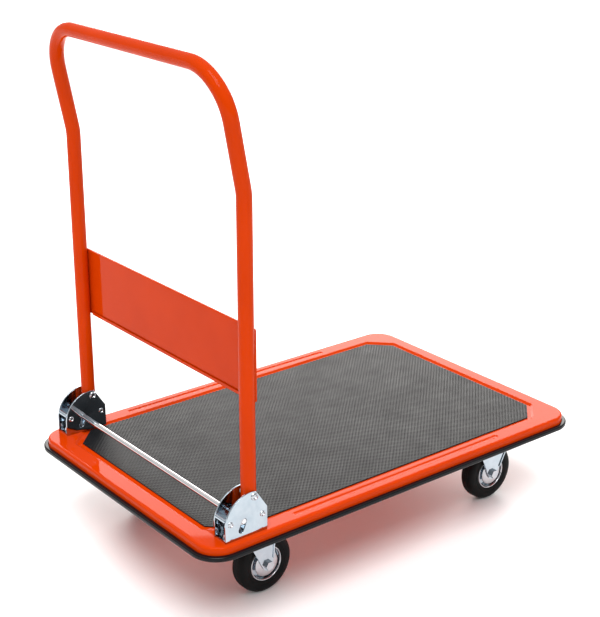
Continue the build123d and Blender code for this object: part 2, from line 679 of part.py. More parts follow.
caster_places = [p for x in CHANNEL_X.values() for p in plate_holes(x)]
seat = PLATE_TOP + CHANNEL_T
save(group(bolt_z(x, y, seat, CASTER_BOLT_L, M6) for x, y in caster_places), "caster_bolts")
save(group(nut_z(x, y, PLATE_BOTTOM - M6["nut"], M6) for x, y in caster_places), "caster_nuts")

bracket_places = bracket_bolt_places()
seat = DECK_TOP + BRACKET_T
save(group(bolt_z(x, y, seat, BRACKET_BOLT_L, M8) for x, y in bracket_places), "bracket_bolts")
save(group(nut_z(x, y, DECK_UNDER - M8["nut"], M8) for x, y in bracket_places), "bracket_nuts")

rivets = {
    "pivot_rivets": (PIVOT, PIVOT_R, PIVOT_HEAD),
    "stop_rivets": (on_bracket(STOP_DX, STOP_DZ), STOP_R, SMALL_HEAD),
    "anchor_rivets": (on_bracket(ANCHOR_DX, ANCHOR_DZ), ANCHOR_R, SMALL_HEAD),
}
for name, (place, shank_r, head) in rivets.items():
    save(group(rivet(*place, side * HANDLE_Y, shank_r, head) for side in SIDES.values()), name)
save(make_release_bar(), "release_bar")
save(make_bar_clips(), "bar_clips")
save(make_handle_tube(), "handle_tube")
save(make_panel(), "handle_panel")
save(make_pivot_bushes(), "pivot_bushes")
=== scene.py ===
import json
from math import atan2, cos, pi, radians, sin, tan

import bmesh
import bpy
from mathutils import Matrix, Quaternion, Vector


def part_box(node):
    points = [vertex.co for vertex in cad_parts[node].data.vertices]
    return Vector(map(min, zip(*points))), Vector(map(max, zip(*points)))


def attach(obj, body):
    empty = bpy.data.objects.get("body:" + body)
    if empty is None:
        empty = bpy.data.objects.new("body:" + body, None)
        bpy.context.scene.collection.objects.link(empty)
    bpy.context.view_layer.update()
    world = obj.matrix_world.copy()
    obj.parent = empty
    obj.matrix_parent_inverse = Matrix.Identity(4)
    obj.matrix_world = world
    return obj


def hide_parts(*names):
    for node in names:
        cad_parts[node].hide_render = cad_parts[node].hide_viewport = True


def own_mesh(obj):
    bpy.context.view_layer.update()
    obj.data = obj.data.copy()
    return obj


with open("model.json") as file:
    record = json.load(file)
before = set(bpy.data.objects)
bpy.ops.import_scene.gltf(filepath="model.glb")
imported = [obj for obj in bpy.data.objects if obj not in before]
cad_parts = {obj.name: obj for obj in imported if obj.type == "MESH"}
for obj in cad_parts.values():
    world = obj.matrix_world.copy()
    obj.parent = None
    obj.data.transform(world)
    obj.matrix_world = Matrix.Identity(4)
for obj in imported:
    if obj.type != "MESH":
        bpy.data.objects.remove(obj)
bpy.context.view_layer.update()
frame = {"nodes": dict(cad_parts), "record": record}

# Folding platform cart. Metres, +Z up, origin on the floor under the middle of the platform,
# +X towards the end without the handle. MM turns millimetres into metres.
MM = 0.001
SIDES = {"left": 1, "right": -1}
ENDS = ("rear", "front")


# ---------- curves and outlines ----------
def rounded(points, radii, steps=6):
    """A path with each inner corner replaced by an arc. Ends stay as they are."""
    out = [points[0]]
    for i, radius in enumerate(radii, start=1):
        corner = points[i]
        back = (points[i - 1] - corner).normalized()
        ahead = (points[i + 1] - corner).normalized()
        half = back.angle(ahead) / 2
        start = corner + back * (radius / tan(half))
        centre = corner + (back + ahead).normalized() * (radius / sin(half))
        spoke = start - centre
        axis = back.to_3d().cross(ahead.to_3d())
        turn = pi - 2 * half
        for k in range(steps + 1):
            spin = Quaternion(axis, -turn * k / steps)
            arm = spin @ spoke.to_3d()
            out.append(centre + (arm if len(corner) == 3 else arm.to_2d()))
    out.append(points[-1])
    return out


def closed_rounded(points, radii, steps=4):
    """A closed 2-D outline with rounded corners. A radius of 0 keeps a corner sharp."""
    out = []
    count = len(points)
    for i, radius in enumerate(radii):
        trio = [points[i - 1], points[i], points[(i + 1) % count]]
        out += rounded(trio, [radius], steps)[1:-1] if radius else [points[i]]
    return out


def slot_outline(a, b, radius, steps=8):
    """Outline of a slot from end centre a to end centre b."""
    heading = atan2(b[1] - a[1], b[0] - a[0])
    out = []
    for centre, start in ((b, heading - pi / 2), (a, heading + pi / 2)):
        for k in range(steps + 1):
            angle = start + pi * k / steps
            out.append(Vector((centre[0] + radius * cos(angle), centre[1] + radius * sin(angle))))
    return out


def rectangle_loop(half_x, half_y, radius, z, steps=14):
    """Points round a rounded rectangle, anticlockwise from the +X +Y corner."""
    out = []
    for k, (sx, sy) in enumerate(((1, 1), (-1, 1), (-1, -1), (1, -1))):
        centre = Vector((sx * (half_x - radius), sy * (half_y - radius), z))
        for i in range(steps + 1):
            angle = pi / 2 * (k + i / steps)
            out.append(centre + radius * Vector((cos(angle), sin(angle), 0)))
    return out


def octagon_loop(x0, x1, half_y, leg, inset, corner, z):
    """Rectangle with cut-off corners, moved inwards by inset, its corners slightly rounded."""
    x0, x1, h = x0 + inset, x1 - inset, half_y - inset
    c = leg - inset * (2 - 2**0.5)
    flat = [(x1, h - c), (x1 - c, h), (x0 + c, h), (x0, h - c)]
    flat += [(x0, c - h), (x0 + c, -h), (x1 - c, -h), (x1, c - h)]
    outline = closed_rounded([Vector(p) for p in flat], [corner] * 8)
    return [Vector((p.x, p.y, z)) for p in outline]


def offset_outline(outline, distance):
    """A closed 2-D anticlockwise outline moved inwards by distance."""
    out = []
    count = len(outline)
    for i, point in enumerate(outline):
        before = (point - outline[i - 1]).normalized()
        after = (outline[(i + 1) % count] - point).normalized()
        inward = Vector((-before.y - after.y, before.x + after.x))
        if inward.length < 1e-6:
            inward = Vector((-before.y, before.x))
        inward.normalize()
        stretch = max(0.4, inward.dot(Vector((-before.y, before.x))))
        out.append(point + inward * (distance / stretch))
    return out


def signed_area(outline):
    pairs = zip(outline, outline[1:] + outline[:1])
    return sum(a.x * b.y - b.x * a.y for a, b in pairs) / 2


def thick_path(path, thickness):
    """Closed outline of a bent sheet whose middle follows a 2-D path."""
    left, right = [], []
    for i, point in enumerate(path):
        along = (path[min(i + 1, len(path) - 1)] - path[max(i - 1, 0)]).normalized()
        side = Vector((-along.y, along.x)) * thickness / 2
        left.append(point + side)
        right.append(point - side)
    return left + right[::-1]


# ---------- mesh building ----------
def bm_loop(bm, points):
    return [bm.verts.new(p) for p in points]


def bridge(bm, a, b, closed=True):
    count = len(a)
    for i in range(count if closed else count - 1):
        j = (i + 1) % count
        bm.faces.new((a[i], a[j], b[j], b[i]))


def bridge_all(bm, rings):
    for a, b in zip(rings, rings[1:]):
        bridge(bm, a, b)


def stitch(bm, a, b):
    """Joins two rings of the same count, matching each vertex of a to the nearest of b."""
    count = len(a)
    first = min(range(count), key=lambda i: (b[i].co - a[0].co).length)
    forward = (b[(first + 1) % count].co - a[1].co).length < (b[first - 1].co - a[1].co).length
    step = 1 if forward else -1
    bridge(bm, a, [b[(first + step * i) % count] for i in range(count)])


def fill(bm, loops):
    """Fills a flat region. The first loop of verts is its outside, the others are holes."""
    edges = []
    for loop in loops:
        for i, vert in enumerate(loop):
            pair = (vert, loop[(i + 1) % len(loop)])
            edges.append(bm.edges.get(pair) or bm.edges.new(pair))
    bmesh.ops.triangle_fill(bm, use_beauty=True, edges=edges)


def finish_object(name, bm, material, smooth_angle=32):
    bmesh.ops.recalc_face_normals(bm, faces=bm.faces)
    mesh = bpy.data.meshes.new(name)
    bm.to_mesh(mesh)
    bm.free()
    mesh.shade_smooth()
    mesh.set_sharp_from_angle(angle=radians(smooth_angle))
    mesh.materials.append(material)
    made = bpy.data.objects.new(name, mesh)
    bpy.context.scene.collection.objects.link(made)
    return made


def add_plate(bm, outline, holes, depth, place, edge=0.4 * MM, steps=3):
    """A flat plate with rounded edges. place(u, v, w) puts outline point (u, v) at depth w."""
    loops = [outline if signed_area(outline) > 0 else outline[::-1]]
    loops += [hole[::-1] if signed_area(hole) > 0 else hole for hole in holes]
    rims = {0: [], 1: []}
    for loop in loops:
        rows = []
        for side in (0, 1):
            row = []
            for k in range(steps + 1):
                angle = pi / 2 * k / steps
                inset, w = edge * (1 - sin(angle)), edge * (1 - cos(angle))
                points = offset_outline(loop, inset)
                level = w if side == 0 else depth - w
                row.append(bm_loop(bm, [place(p.x, p.y, level) for p in points]))
            rims[side].append(row[0])
            rows += row if side == 0 else row[::-1]
        bridge_all(bm, rows)
    for side in (0, 1):
        fill(bm, rims[side])


def add_strip(bm, path, thickness, y0, y1, edge=0.25 * MM):
    """A bent sheet: a path in the XZ plane given thickness, and run along Y from y0 to y1."""
    outline = thick_path(path, thickness)
    rows = []
    for y, inset in ((y0, edge), (y0 + edge, 0), (y1 - edge, 0), (y1, edge)):
        points = offset_outline(outline, inset * (1 if signed_area(outline) > 0 else -1))
        rows.append(bm_loop(bm, [Vector((p.x, y, p.y)) for p in points]))
    bridge_all(bm, rows)
    fill(bm, [rows[0]])
    fill(bm, [rows[-1]])


def add_tube(bm, path, radius, sides=32, caps=True):
    """Round tube along 3-D points, with frames carried along the path without twist."""
    rings = []
    tangent = (path[1] - path[0]).normalized()
    normal = tangent.orthogonal().normalized()
    spokes = [2 * pi * k / sides for k in range(sides)]
    for i, point in enumerate(path):
        ahead = (path[min(i + 1, len(path) - 1)] - path[max(i - 1, 0)]).normalized()
        normal = tangent.rotation_difference(ahead) @ normal
        tangent = ahead
        binormal = tangent.cross(normal)
        arms = [cos(a) * normal + sin(a) * binormal for a in spokes]
        rings.append(bm_loop(bm, [point + radius * arm for arm in arms]))
    bridge_all(bm, rings)
    if caps:
        bm.faces.new(rings[0][::-1])
        bm.faces.new(rings[-1])
    return rings


def add_lathe(bm, profile, centre, sides=72):
    """Turns a closed profile of (radius, distance along Y) points round a Y axis through centre."""
    rings = []
    for radius, along in profile:
        turns = [2 * pi * k / sides for k in range(sides)]
        points = [centre + Vector((radius * cos(a), along, radius * sin(a))) for a in turns]
        rings.append(bm_loop(bm, points))
    bridge_all(bm, rings + rings[:1])


def middle(node):
    low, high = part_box(node)
    return (low + high) / 2


def register(piece, body, slot, *nodes):
    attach(piece, body)
    if nodes:
        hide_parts(*nodes)
    return piece


# ---------- materials ----------
# Colour sockets of the Mix node, by place: their names are shared with its other types.
MIX_A, MIX_B, MIX_RESULT = 6, 7, 2


class Surface:
    """A new material, with helpers that add linked nodes and connect them to its shader."""

    def __init__(self, name):
        self.material = bpy.data.materials.new(name)
        self.material.use_nodes = True
        self.tree = self.material.node_tree
        self.shader = self.tree.nodes["Principled BSDF"]
        self.place = self.tree.nodes.new("ShaderNodeTexCoord").outputs["Object"]

    def node(self, kind, inputs, **settings):
        made = self.tree.nodes.new(kind)
        for key, value in settings.items():
            setattr(made, key, value)
        for key, value in inputs.items():
            if isinstance(value, bpy.types.NodeSocket):
                self.tree.links.new(value, made.inputs[key])
            else:
                made.inputs[key].default_value = value
        return made

    def noise(self, scale, detail=3.0, roughness=0.5):
        inputs = {"Vector": self.place, "Scale": scale, "Detail": detail, "Roughness": roughness}
        return self.node("ShaderNodeTexNoise", inputs).outputs["Fac"]

    def spread(self, value, low, high):
        """Maps the middle part of a pattern's values to a range."""
        inputs = {"Value": value, "From Min": 0.3, "From Max": 0.7, "To Min": low, "To Max": high}
        return self.node("ShaderNodeMapRange", inputs).outputs["Result"]

    def blend(self, factor, a, b):
        inputs = {"Factor": factor, MIX_A: (*a, 1), MIX_B: (*b, 1)}
        return self.node("ShaderNodeMix", inputs, data_type="RGBA").outputs[MIX_RESULT]

    def bump(self, height, distance, strength, onto=None):
        inputs = {"Height": height, "Distance": distance, "Strength": strength}
        if onto:
            inputs["Normal"] = onto
        return self.node("ShaderNodeBump", inputs).outputs["Normal"]

    def connect(self, socket, value):
        self.tree.links.new(value, self.shader.inputs[socket])

    def set_inputs(self, **values):
        for key, value in values.items():
            self.shader.inputs[key.replace("_", " ")].default_value = value


def paint_material():
    """Glossy orange powder coat: even colour with a faint drift and a fine orange-peel surface."""
    paint = Surface("orange_paint")
    drift = paint.spread(paint.noise(9.0, 4.0), 0.0, 1.0)
    paint.connect("Base Color", paint.blend(drift, (0.54, 0.037, 0.0004), (0.60, 0.043, 0.0006)))
    paint.connect("Roughness", paint.spread(paint.noise(55.0, 4.0), 0.40, 0.50))
    peel = paint.bump(paint.noise(620.0, 2.0), 0.00002, 0.5)
    paint.connect("Normal", paint.bump(paint.noise(7.0, 1.0), 0.00035, 0.35, peel))
    paint.set_inputs(Specular_IOR_Level=0.0, Coat_Weight=1.0, Coat_Roughness=0.03, Coat_IOR=1.15)
    return paint.material


def zinc_material(name, light, dark, low, high):
    """Zinc plate: clear but slightly cloudy reflections with a faint tint."""
    zinc = Surface(name)
    cloud = zinc.noise(70.0, 5.0, 0.6)
    zinc.connect("Base Color", zinc.blend(zinc.spread(cloud, 0.0, 1.0), dark, light))
    zinc.connect("Roughness", zinc.spread(zinc.noise(160.0, 4.0, 0.6), low, high))
    zinc.connect("Normal", zinc.bump(zinc.noise(45.0, 2.0), 0.00012, 0.25))
    zinc.set_inputs(Metallic=1.0)
    return zinc.material


def chrome_material():
    """Chrome with faint turned rings along its Y axis."""
    chrome = Surface("bright_chrome")
    stretch = {"Vector": chrome.place, "Scale": (1.0, 30.0, 1.0)}
    stretched = chrome.node("ShaderNodeMapping", stretch).outputs["Vector"]
    pattern = {"Vector": stretched, "Scale": 60.0, "Detail": 3.0}
    rings = chrome.node("ShaderNodeTexNoise", pattern).outputs["Fac"]
    chrome.connect("Roughness", chrome.spread(rings, 0.05, 0.14))
    tone = chrome.blend(chrome.noise(120.0), (0.66, 0.66, 0.67), (0.76, 0.76, 0.77))
    chrome.connect("Base Color", tone)
    chrome.connect("Normal", chrome.bump(rings, 0.00001, 0.5))
    chrome.set_inputs(Metallic=1.0)
    return chrome.material


def rubber_material(name, dark, light, low, high, grain, depth, specular):
    """Black rubber: low and high bound the roughness, grain and depth set its fine surface."""
    rubber = Surface(name)
    rubber.connect("Base Color", rubber.blend(rubber.noise(40.0, 5.0), dark, light))
    rubber.connect("Roughness", rubber.spread(rubber.noise(90.0, 4.0), low, high))
    rubber.connect("Normal", rubber.bump(rubber.noise(grain, 3.0), depth, 0.6))
    rubber.set_inputs(Specular_IOR_Level=specular)
    return rubber.material


def mat_material():
    """Dark PVC mat: its ribs are geometry, and this adds a leather-like grain and uneven sheen."""
    pvc = Surface("mat_pvc")
    tone = pvc.blend(pvc.noise(14.0, 6.0, 0.65), (0.004, 0.004, 0.005), (0.008, 0.008, 0.009))
    pvc.connect("Base Color", tone)
    pvc.connect("Roughness", pvc.spread(pvc.noise(25.0, 4.0), 0.30, 0.40))
    pvc.connect("Normal", pvc.bump(pvc.noise(1500.0, 3.0), 0.00006, 0.5))
    pvc.set_inputs(Specular_IOR_Level=0.11)
    return pvc.material


def nylon_material():
    nylon = Surface("nylon")
    tone = nylon.blend(nylon.noise(60.0), (0.70, 0.68, 0.62), (0.80, 0.79, 0.74))
    nylon.connect("Base Color", tone)
    nylon.connect("Roughness", nylon.spread(nylon.noise(200.0), 0.35, 0.5))
    nylon.connect("Normal", nylon.bump(nylon.noise(700.0), 0.00003, 0.4))
    nylon.set_inputs(Subsurface_Weight=0.1)
    return nylon.material


def floor_material():
    white = Surface("floor_white")
    tone = white.blend(white.noise(2.0), (0.92, 0.92, 0.92), (0.935, 0.935, 0.935))
    white.connect("Base Color", tone)
    white.set_inputs(Roughness=0.6)
    return white.material


MATERIALS = {
    "orange_paint": paint_material(),
    "mat_pvc": mat_material(),
    "bumper_rubber": rubber_material(
        "bumper_rubber", dark=(0.003, 0.003, 0.004), light=(0.006, 0.006, 0.008),
        low=0.14, high=0.22, grain=300.0, depth=0.00003, specular=0.16),
    "tyre_rubber": rubber_material(
        "tyre_rubber", dark=(0.004, 0.0038, 0.004), light=(0.007, 0.0065, 0.0065),
        low=0.45, high=0.6, grain=800.0, depth=0.00010, specular=0.10),
    "zinc_sheet": zinc_material(
        "zinc_sheet", light=(0.52, 0.58, 0.63), dark=(0.42, 0.49, 0.55), low=0.06, high=0.11),
    "bright_zinc": zinc_material(
        "bright_zinc", light=(0.56, 0.56, 0.58), dark=(0.44, 0.44, 0.47), low=0.10, high=0.18),
    "bright_chrome": chrome_material(),
    "fastener_steel": zinc_material(
        "fastener_steel", light=(0.60, 0.62, 0.65), dark=(0.46, 0.48, 0.52), low=0.14, high=0.24),
    "nylon": nylon_material(),
}


# ---------- platform ----------
SHEET = 1.5 * MM
FLANGE_REACH = 6.0 * MM
SKIRT_OUT = 3.5 * MM
FOLD_R = 3.4 * MM
FLANGE_BEND_R = 1.2 * MM
TOP_BORDER = 2 * MM
FLAT_CORNER_R = 33 * MM
RECESS_GAP_X = (11.5 * MM, 8.0 * MM)
RECESS_GAP_Y = 7.5 * MM
RECESS_LEG = 36 * MM
RECESS_SLOPE = 4 * MM
RECESS_LEDGE = 4 * MM
RECESS_BENDS = [2.0 * MM, 1.5 * MM]
RECESS_DEPTH = 3 * MM
RECESS_CORNER_R = 5 * MM
GROOVE_HALF_L = 208 * MM
GROOVE_Y = 222 * MM
GROOVE_R = 4.75 * MM
GROOVE_DEPTH = 1.3 * MM
GROOVE_BORDER = 1.5 * MM
GROOVE_FLOOR_R = 2 * MM
GROOVE_CENTRE_R = 0.7 * MM
GROOVE_BENDS = [1.5 * MM, 1.0 * MM]
MAT_LEG = 34.5 * MM
RIB_PITCH = 4.9 * MM
RIB_HEIGHT = 0.5 * MM
BUMPER_INSIDE = 0.5 * MM
BUMPER_R = 2.4 * MM
BUMPER_JOINT_Y = -65 * MM
BUMPER_JOINT_GAP = 0.6 * MM


def bend(points, radii, steps=5):
    """A 2-D path through (a, b) pairs with rounded bends."""
    return rounded([Vector(p) for p in points], radii, steps)


def flat_size():
    """Half length, half width and height of the flat top inside the rounded fold."""
    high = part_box("deck_shell")[1]
    out = FLANGE_REACH + SKIRT_OUT
    return high.x - out, high.y - out, high.z


def add_recess(bm, top):
    """The pressed well for the mat. Returns the loop of its upper edge."""
    low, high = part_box("deck_mat")
    x0, x1 = low.x - RECESS_GAP_X[0], high.x + RECESS_GAP_X[1]
    half_y = high.y + RECESS_GAP_Y
    floor = top - RECESS_DEPTH
    inner = RECESS_SLOPE + RECESS_LEDGE
    slope = [(-TOP_BORDER, top), (0, top), (RECESS_SLOPE, floor), (inner, floor)]
    rings = []
    for p in bend(slope, RECESS_BENDS):
        loop = octagon_loop(x0, x1, half_y, RECESS_LEG, p.x, RECESS_CORNER_R, p.y)
        rings.append(bm_loop(bm, loop))
    bridge_all(bm, rings)
    fill(bm, [rings[-1]])
    return rings[0]


def add_groove(bm, top, side):
    """A long shallow stiffening groove beside the mat. Returns the loop of its upper edge."""
    y = side * GROOVE_Y
    span = GROOVE_HALF_L - GROOVE_R
    bottom = top - GROOVE_DEPTH
    dip = [(GROOVE_R + GROOVE_BORDER, top), (GROOVE_R, top)]
    dip += [(GROOVE_FLOOR_R, bottom), (GROOVE_CENTRE_R, bottom)]
    rings = []
    for p in bend(dip, GROOVE_BENDS, 3):
        outline = slot_outline((-span, y), (span, y), p.x)
        rings.append(bm_loop(bm, [Vector((q.x, q.y, p.y)) for q in outline]))
    bridge_all(bm, rings)
    fill(bm, [rings[-1]])
    return rings[0]


def make_deck():
    """Pressed sheet: flange, skirt, rounded fold, flat rim with grooves, and the mat's recess."""
    flat_x, flat_y, top = flat_size()
    flange_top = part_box("deck_shell")[0].z + SHEET
    out = FLANGE_REACH + SKIRT_OUT
    bm = bmesh.new()
    side_view = [(out, flange_top), (SKIRT_OUT, flange_top), (SKIRT_OUT, top), (-TOP_BORDER, top)]
    loops = []
    for p in bend(side_view, [FLANGE_BEND_R, FOLD_R]):
        loop = rectangle_loop(flat_x + p.x, flat_y + p.x, FLAT_CORNER_R + p.x, p.y)
        loops.append(bm_loop(bm, loop))
    bridge_all(bm, loops)
    holes = [add_recess(bm, top)]
    holes += [add_groove(bm, top, side) for side in SIDES.values()]
    fill(bm, [loops[-1], *holes])
    deck = finish_object("deck_pressing", bm, MATERIALS["orange_paint"])
    if sum(face.normal.z * face.area for face in deck.data.polygons) < 0:
        deck.data.flip_normals()
    thick = deck.modifiers.new("sheet", "SOLIDIFY")
    thick.thickness = SHEET
    thick.offset = -1
    return register(deck, "chassis", "orange_paint", "deck_shell")


def make_mat():
    """Embossed mat: small pyramids in rows at 45 degrees, cut to its outline, on a backing."""
    low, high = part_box("deck_mat")
    step = RIB_PITCH / 2**0.5
    bm = bmesh.new()
    count_x = int((high.x - low.x) / step) + 4
    count_y = int((high.y - low.y) / step) + 4
    grid = {}
    for i in range(count_x):
        for j in range(count_y):
            level = high.z if (i + j) % 2 else high.z - RIB_HEIGHT
            grid[i, j] = bm.verts.new((low.x + (i - 1.5) * step, low.y + (j - 1.5) * step, level))
    for i in range(1, count_x - 1):
        for j in range(1, count_y - 1):
            if (i + j) % 2:
                around = [grid[i + 1, j], grid[i, j + 1], grid[i - 1, j], grid[i, j - 1]]
                for a, b in zip(around, around[1:] + around[:1]):
                    bm.faces.new((grid[i, j], a, b))
    loose = [v for v in bm.verts if not v.link_faces]
    bmesh.ops.delete(bm, geom=loose, context="VERTS")
    cut_to_octagon(bm, low, high)
    rim = [e for e in bm.edges if e.is_boundary]
    skirt = bmesh.ops.extrude_edge_only(bm, edges=rim)["geom"]
    for vert in (v for v in skirt if isinstance(v, bmesh.types.BMVert)):
        vert.co.z = low.z
    foot = [e for e in skirt if isinstance(e, bmesh.types.BMEdge)]
    bmesh.ops.edgeloop_fill(bm, edges=foot)
    mat = finish_object("ribbed_mat", bm, MATERIALS["mat_pvc"], 5)
    return register(mat, "chassis", "mat_pvc", "deck_mat")


def cut_to_octagon(bm, low, high):
    """Cuts away what lies outside a rectangle with cut-off corners."""
    middle_y = (low.y + high.y) / 2
    planes = [((x, middle_y, 0), (way, 0, 0)) for x, way in ((low.x, -1), (high.x, 1))]
    planes += [((0, y, 0), (0, way, 0)) for y, way in ((low.y, -1), (high.y, 1))]
    for x, sx in ((low.x, -1), (high.x, 1)):
        for y, sy in ((low.y, -1), (high.y, 1)):
            planes.append(((x - sx * MAT_LEG, y, 0), (sx, sy, 0)))
    for point, normal in planes:
        parts = [*bm.verts, *bm.edges, *bm.faces]
        cut = {"plane_co": point, "plane_no": normal, "clear_outer": True}
        bmesh.ops.bisect_plane(bm, geom=parts, dist=1e-7, **cut)


def make_bumper():
    """Rubber strip round the flange, with its butt joint on the side below the handle."""
    flat_x, flat_y, _ = flat_size()
    low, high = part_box("bumper_strip")
    inner = SKIRT_OUT + BUMPER_INSIDE
    outer = high.x - flat_x
    section = ((inner, low.z), (outer, low.z), (outer, high.z), (inner, high.z))
    corners = [Vector(p) for p in section]
    outline = closed_rounded(corners, [0.4 * MM, BUMPER_R, BUMPER_R, 0.8 * MM], 6)
    bm = bmesh.new()
    rows = []
    for p in outline:
        loop = rectangle_loop(flat_x + p.x, flat_y + p.x, FLAT_CORNER_R + p.x, p.y)
        start = len(loop) // 2
        path = loop[start:] + loop[:start]
        first, last = (BUMPER_JOINT_Y + way * BUMPER_JOINT_GAP / 2 for way in (-1, 1))
        ends = [Vector((path[0].x, y, p.y)) for y in (first, last)]
        rows.append(bm_loop(bm, [ends[0], *path, ends[1]]))
    for a, b in zip(rows, rows[1:] + rows[:1]):
        bridge(bm, a, b, closed=False)
    for end in (0, -1):
        bm.faces.new([row[end] for row in rows])
    strip = finish_object("bumper_profile", bm, MATERIALS["bumper_rubber"])
    return register(strip, "chassis", "bumper_rubber", "bumper_strip")


# ---------- brackets ----------
BRACKET_T = 2.5 * MM
SHELF_TOP = 36 * MM
SHELF_L = 21 * MM
SHELF_LIP = 4 * MM
BAR_DX = 32.2 * MM
BAR_DZ = 25 * MM
BAR_TRAVEL = 13.5 * MM
SLOT_WAY = Vector((-0.4, -0.9165))
SLOT_R = 4.55 * MM
CHEEK_ARC = [(0, 26 * MM), (17 * MM, 56.5 * MM), (46 * MM, 66.5 * MM)]
CHEEK_NOSE = [(53 * MM, 65 * MM), (72 * MM, 36 * MM), (72 * MM, 0), (0, 0)]


def arc_through(a, b, c, steps=18):
    """Points on the arc from a through b to c."""
    a, b, c = (Vector(p) for p in (a, b, c))
    ab, ac = b - a, c - a
    cross = 2 * (ab.x * ac.y - ab.y * ac.x)
    ab2, ac2 = ab.length_squared, ac.length_squared
    centre = a + Vector((ac.y * ab2 - ab.y * ac2, ab.x * ac2 - ac.x * ab2)) / cross
    radius = (a - centre).length
    first, last = (atan2(p.y - centre.y, p.x - centre.x) for p in (a, c))
    if cross < 0 < last - first:
        last -= 2 * pi
    angles = [first + (last - first) * k / steps for k in range(steps + 1)]
    return [centre + radius * Vector((cos(t), sin(t))) for t in angles]


def cheek_outline():
    arc = arc_through(*CHEEK_ARC)
    points = arc + [Vector(p) for p in CHEEK_NOSE]
    radii = [2 * MM] + [0] * (len(arc) - 2) + [4 * MM, 4 * MM, 2 * MM, 0.6 * MM, 0.6 * MM]
    return closed_rounded(points, radii)


def make_bracket(name):
    """Zinc bracket, open at both ends: two slotted cheeks, a foot between them, and a shelf."""
    low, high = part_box(name)
    bm = bmesh.new()
    top = Vector((BAR_DX, BAR_DZ))
    slot = slot_outline(top + SLOT_WAY * BAR_TRAVEL, top, SLOT_R)
    for y in (low.y, high.y - BRACKET_T):
        def place(u, v, w, y=y):
            return Vector((low.x + u, y + w, low.z + v))
        add_plate(bm, cheek_outline(), [slot], BRACKET_T, place, 0.35 * MM)
    y0, y1 = low.y + BRACKET_T, high.y - BRACKET_T
    half = BRACKET_T / 2
    level = SHELF_TOP - half
    shelf = bend([(half, SHELF_TOP - SHELF_LIP), (half, level), (SHELF_L, level)], [1.8 * MM])
    add_strip(bm, [Vector((low.x, low.z)) + p for p in shelf], BRACKET_T, y0, y1)
    foot = [Vector((low.x + half, low.z + half)), Vector((high.x - 0.5 * MM, low.z + half))]
    add_strip(bm, foot, BRACKET_T, y0, y1)
    bracket = finish_object(name.replace("bracket", "hinge_bracket"), bm, MATERIALS["zinc_sheet"])
    return register(bracket, "chassis", "zinc_sheet", name)


SPRING_WIRE_R = 0.55 * MM
SPRING_TURNS = 5


def make_spring(name):
    """Round-wire coil spring under the release bar."""
    low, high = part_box(name)
    centre = middle(name)
    radius = (high.x - low.x) / 2 - SPRING_WIRE_R
    rise = high.z - low.z - 2 * SPRING_WIRE_R
    steps = SPRING_TURNS * 20
    path = []
    for k in range(steps + 1):
        angle = 2 * pi * SPRING_TURNS * k / steps
        z = low.z + SPRING_WIRE_R + rise * k / steps
        path.append(Vector((centre.x + radius * cos(angle), centre.y + radius * sin(angle), z)))
    bm = bmesh.new()
    add_tube(bm, path, SPRING_WIRE_R, 10)
    piece_name = name.replace("release_spring", "return_coil")
    spring = finish_object(piece_name, bm, MATERIALS["fastener_steel"])
    register(spring, "chassis", "fastener_steel", name)
    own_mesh(spring)


# ---------- handle ----------
TUBE_R = 11 * MM
TUBE_T = 1.5 * MM
TUBE_BORE_L = 60 * MM
KINK_Z = 639 * MM
KINK_R = 90 * MM
CORNER_R = 70 * MM
PANEL_T = 1.2 * MM
PANEL_RETURN = 3 * MM
PANEL_BORDER = 8 * MM
PANEL_BEND_R = 1.4 * MM
PANEL_CORNER_R = 3 * MM
PANEL_CORNER_MIN = 0.5 * MM
HEM_START = 2.2 * MM
HEM_BEND_R = 0.9 * MM
HEM_H = 5 * MM
HEM_HALF_W = 205 * MM


def make_handle_tube():
    """Bent tube: two uprights that lean back above a kink, and a rounded grip across the top."""
    low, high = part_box("handle_tube")
    x, y = high.x - TUBE_R, high.y - TUBE_R
    x_top, z_top = low.x + TUBE_R, high.z - TUBE_R
    corners = [(x, -y, low.z), (x, -y, KINK_Z), (x_top, -y, z_top)]
    corners += [(x_top, y, z_top), (x, y, KINK_Z), (x, y, low.z)]
    radii = [KINK_R, CORNER_R, CORNER_R, KINK_R]
    path = rounded([Vector(p) for p in corners], radii, 16)
    bm = bmesh.new()
    rings = add_tube(bm, path, TUBE_R, 48, caps=False)
    for end, inside in ((rings[0], path[0]), (rings[-1], path[-1])):
        core = [inside, inside + Vector((0, 0, TUBE_BORE_L))]
        lining = add_tube(bm, core, TUBE_R - TUBE_T, 48, caps=False)
        bm.faces.new(lining[1])
        stitch(bm, end, lining[0])
    tube = finish_object("handle_bow", bm, MATERIALS["orange_paint"])
    return register(tube, "handle", "orange_paint", "handle_tube")


